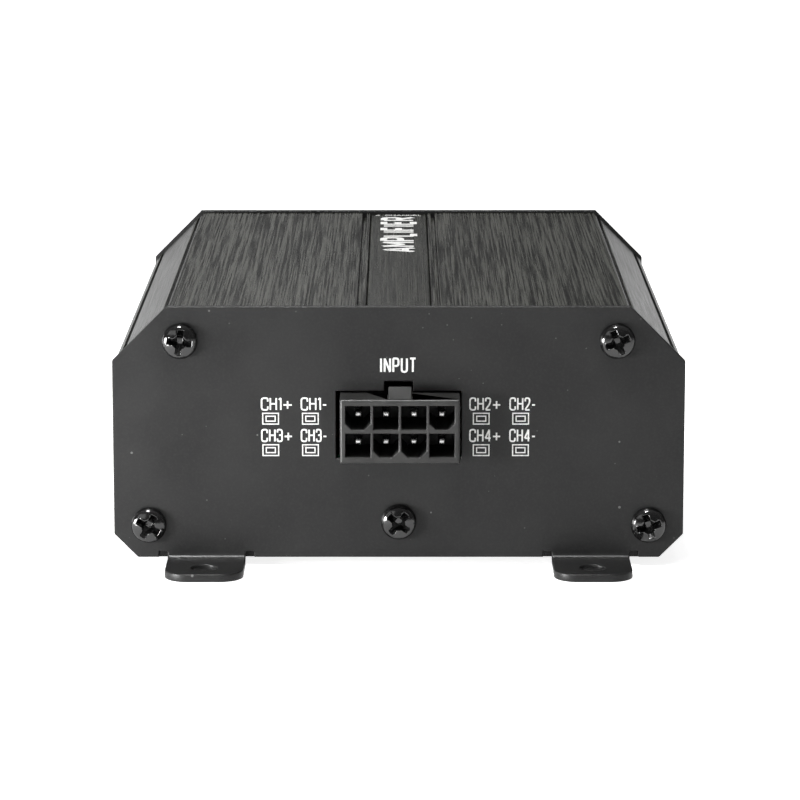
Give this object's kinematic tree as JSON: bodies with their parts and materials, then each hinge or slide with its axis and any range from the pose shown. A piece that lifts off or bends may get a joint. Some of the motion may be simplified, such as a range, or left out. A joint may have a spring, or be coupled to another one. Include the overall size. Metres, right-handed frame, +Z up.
{
  "type": "car amplifier",
  "caption": "Compact black car amplifier: brushed aluminium extrusion with chamfered edges, steel end plates with bent mounting tabs, and right-angle wire headers.",
  "frame": {"origin": "centre of the footprint, on the surface that the undersides of the four mounting tabs stand on", "axes": "+Z up, +Y from the input end to the power end (the longest direction, tabs included), +X to the right when looking at the input end"},
  "size_m": [0.0864, 0.127, 0.0398],
  "materials": {
    "anodised_aluminium": "black anodised; brushed along its length on top, polished on the chamfers",
    "brushed_badge": "black anodised, fine brushed inlay",
    "powder_coated_steel": "fine matte black powder coat",
    "black_screw_steel": "glossy black coated steel",
    "zinc_screw_steel": "zinc plated",
    "header_nylon": "black moulded nylon",
    "tinned_contact": "tin plated brass",
    "control_plastic": "black moulded thermoplastic",
    "shaft_nylon": "pale moulded nylon",
    "switch_steel": "tinned steel case",
    "slider_plastic": "off-white moulded plastic",
    "button_plastic": "dark grey moulded plastic",
    "nut_nickel": "nickel plated",
    "led_ceramic": "pale ceramic carrier with a clear cap",
    "clear_acrylic": "clear polished acrylic",
    "board_laminate": "green solder mask over glass laminate",
    "chip_epoxy": "black moulded epoxy with tinned leads",
    "thermal_silicone": "soft filled silicone",
    "plain_aluminium": "plain milled aluminium",
    "capacitor_sleeve": "dark shrink sleeve with a bare aluminium top",
    "ferrite": "dark grey sintered ferrite",
    "copper_wire": "enamelled copper wire",
    "film_capacitor_box": "moulded box, resin filled",
    "ceramic_chip": "fired ceramic with tinned ends",
    "insulating_film": "amber polyester film"
  },
  "bodies": {
    "housing": {"heatsink_extrusion": "anodised_aluminium", "badge_strip": "brushed_badge", "bottom_panel": "anodised_aluminium", "insulating_film": "insulating_film", "front_end_plate": "powder_coated_steel", "rear_end_plate": "powder_coated_steel", "front_plate_screws": "black_screw_steel", "rear_plate_screws": "black_screw_steel", "board_screws": "zinc_screw_steel", "heat_block_screws": "zinc_screw_steel", "input_header_housing": "header_nylon", "input_header_pins": "tinned_contact", "power_header_housing": "header_nylon", "power_header_pins": "tinned_contact", "gain_control_bodies": "control_plastic", "mode_switch_bodies": "switch_steel", "setup_switch_body": "control_plastic", "microphone_jack": "control_plastic", "microphone_jack_nut": "nut_nickel", "status_led": "led_ceramic", "led_light_pipe": "clear_acrylic", "main_circuit_board": "board_laminate", "amplifier_chips": "chip_epoxy", "thermal_pads": "thermal_silicone", "heat_transfer_block": "plain_aluminium", "supply_capacitors": "capacitor_sleeve", "choke_core": "ferrite", "choke_winding": "copper_wire", "choke_base": "control_plastic", "output_inductors": "ferrite", "output_filter_capacitors": "film_capacitor_box", "converter_transistors": "chip_epoxy", "signal_processor_chip": "chip_epoxy", "converter_chip": "chip_epoxy", "input_amplifier_chips": "chip_epoxy", "clock_crystal": "nut_nickel", "chip_capacitors": "ceramic_chip", "chip_resistors": "chip_epoxy"},
    "setup_button": {"setup_button": "button_plastic"},
    "gain_shaft_a": {"gain_shaft_a": "shaft_nylon"},
    "gain_shaft_b": {"gain_shaft_b": "shaft_nylon"},
    "mode_slider_a": {"mode_slider_a": "slider_plastic"},
    "mode_slider_b": {"mode_slider_b": "slider_plastic"}
  },
  "joints": [
    {"name": "setup_button_press", "type": "slide", "parent": "housing", "child": "setup_button", "axis": [0, -1, 0], "range_m": [0, 0.0004], "stiffness_N_per_m": 500, "springref_m": -0.001},
    {"name": "gain_a_turn", "type": "hinge", "parent": "housing", "child": "gain_shaft_a", "pos_m": [-0.0024, 0.05, 0.0221], "axis": [0, 1, 0], "range_deg": [-140, 140]},
    {"name": "gain_b_turn", "type": "hinge", "parent": "housing", "child": "gain_shaft_b", "pos_m": [0.0058, 0.05, 0.0221], "axis": [0, 1, 0], "range_deg": [-140, 140]},
    {"name": "mode_a_slide", "type": "slide", "parent": "housing", "child": "mode_slider_a", "axis": [0, 0, 1], "range_m": [0, 0.002]},
    {"name": "mode_b_slide", "type": "slide", "parent": "housing", "child": "mode_slider_b", "axis": [0, 0, 1], "range_m": [0, 0.002]}
  ]
}
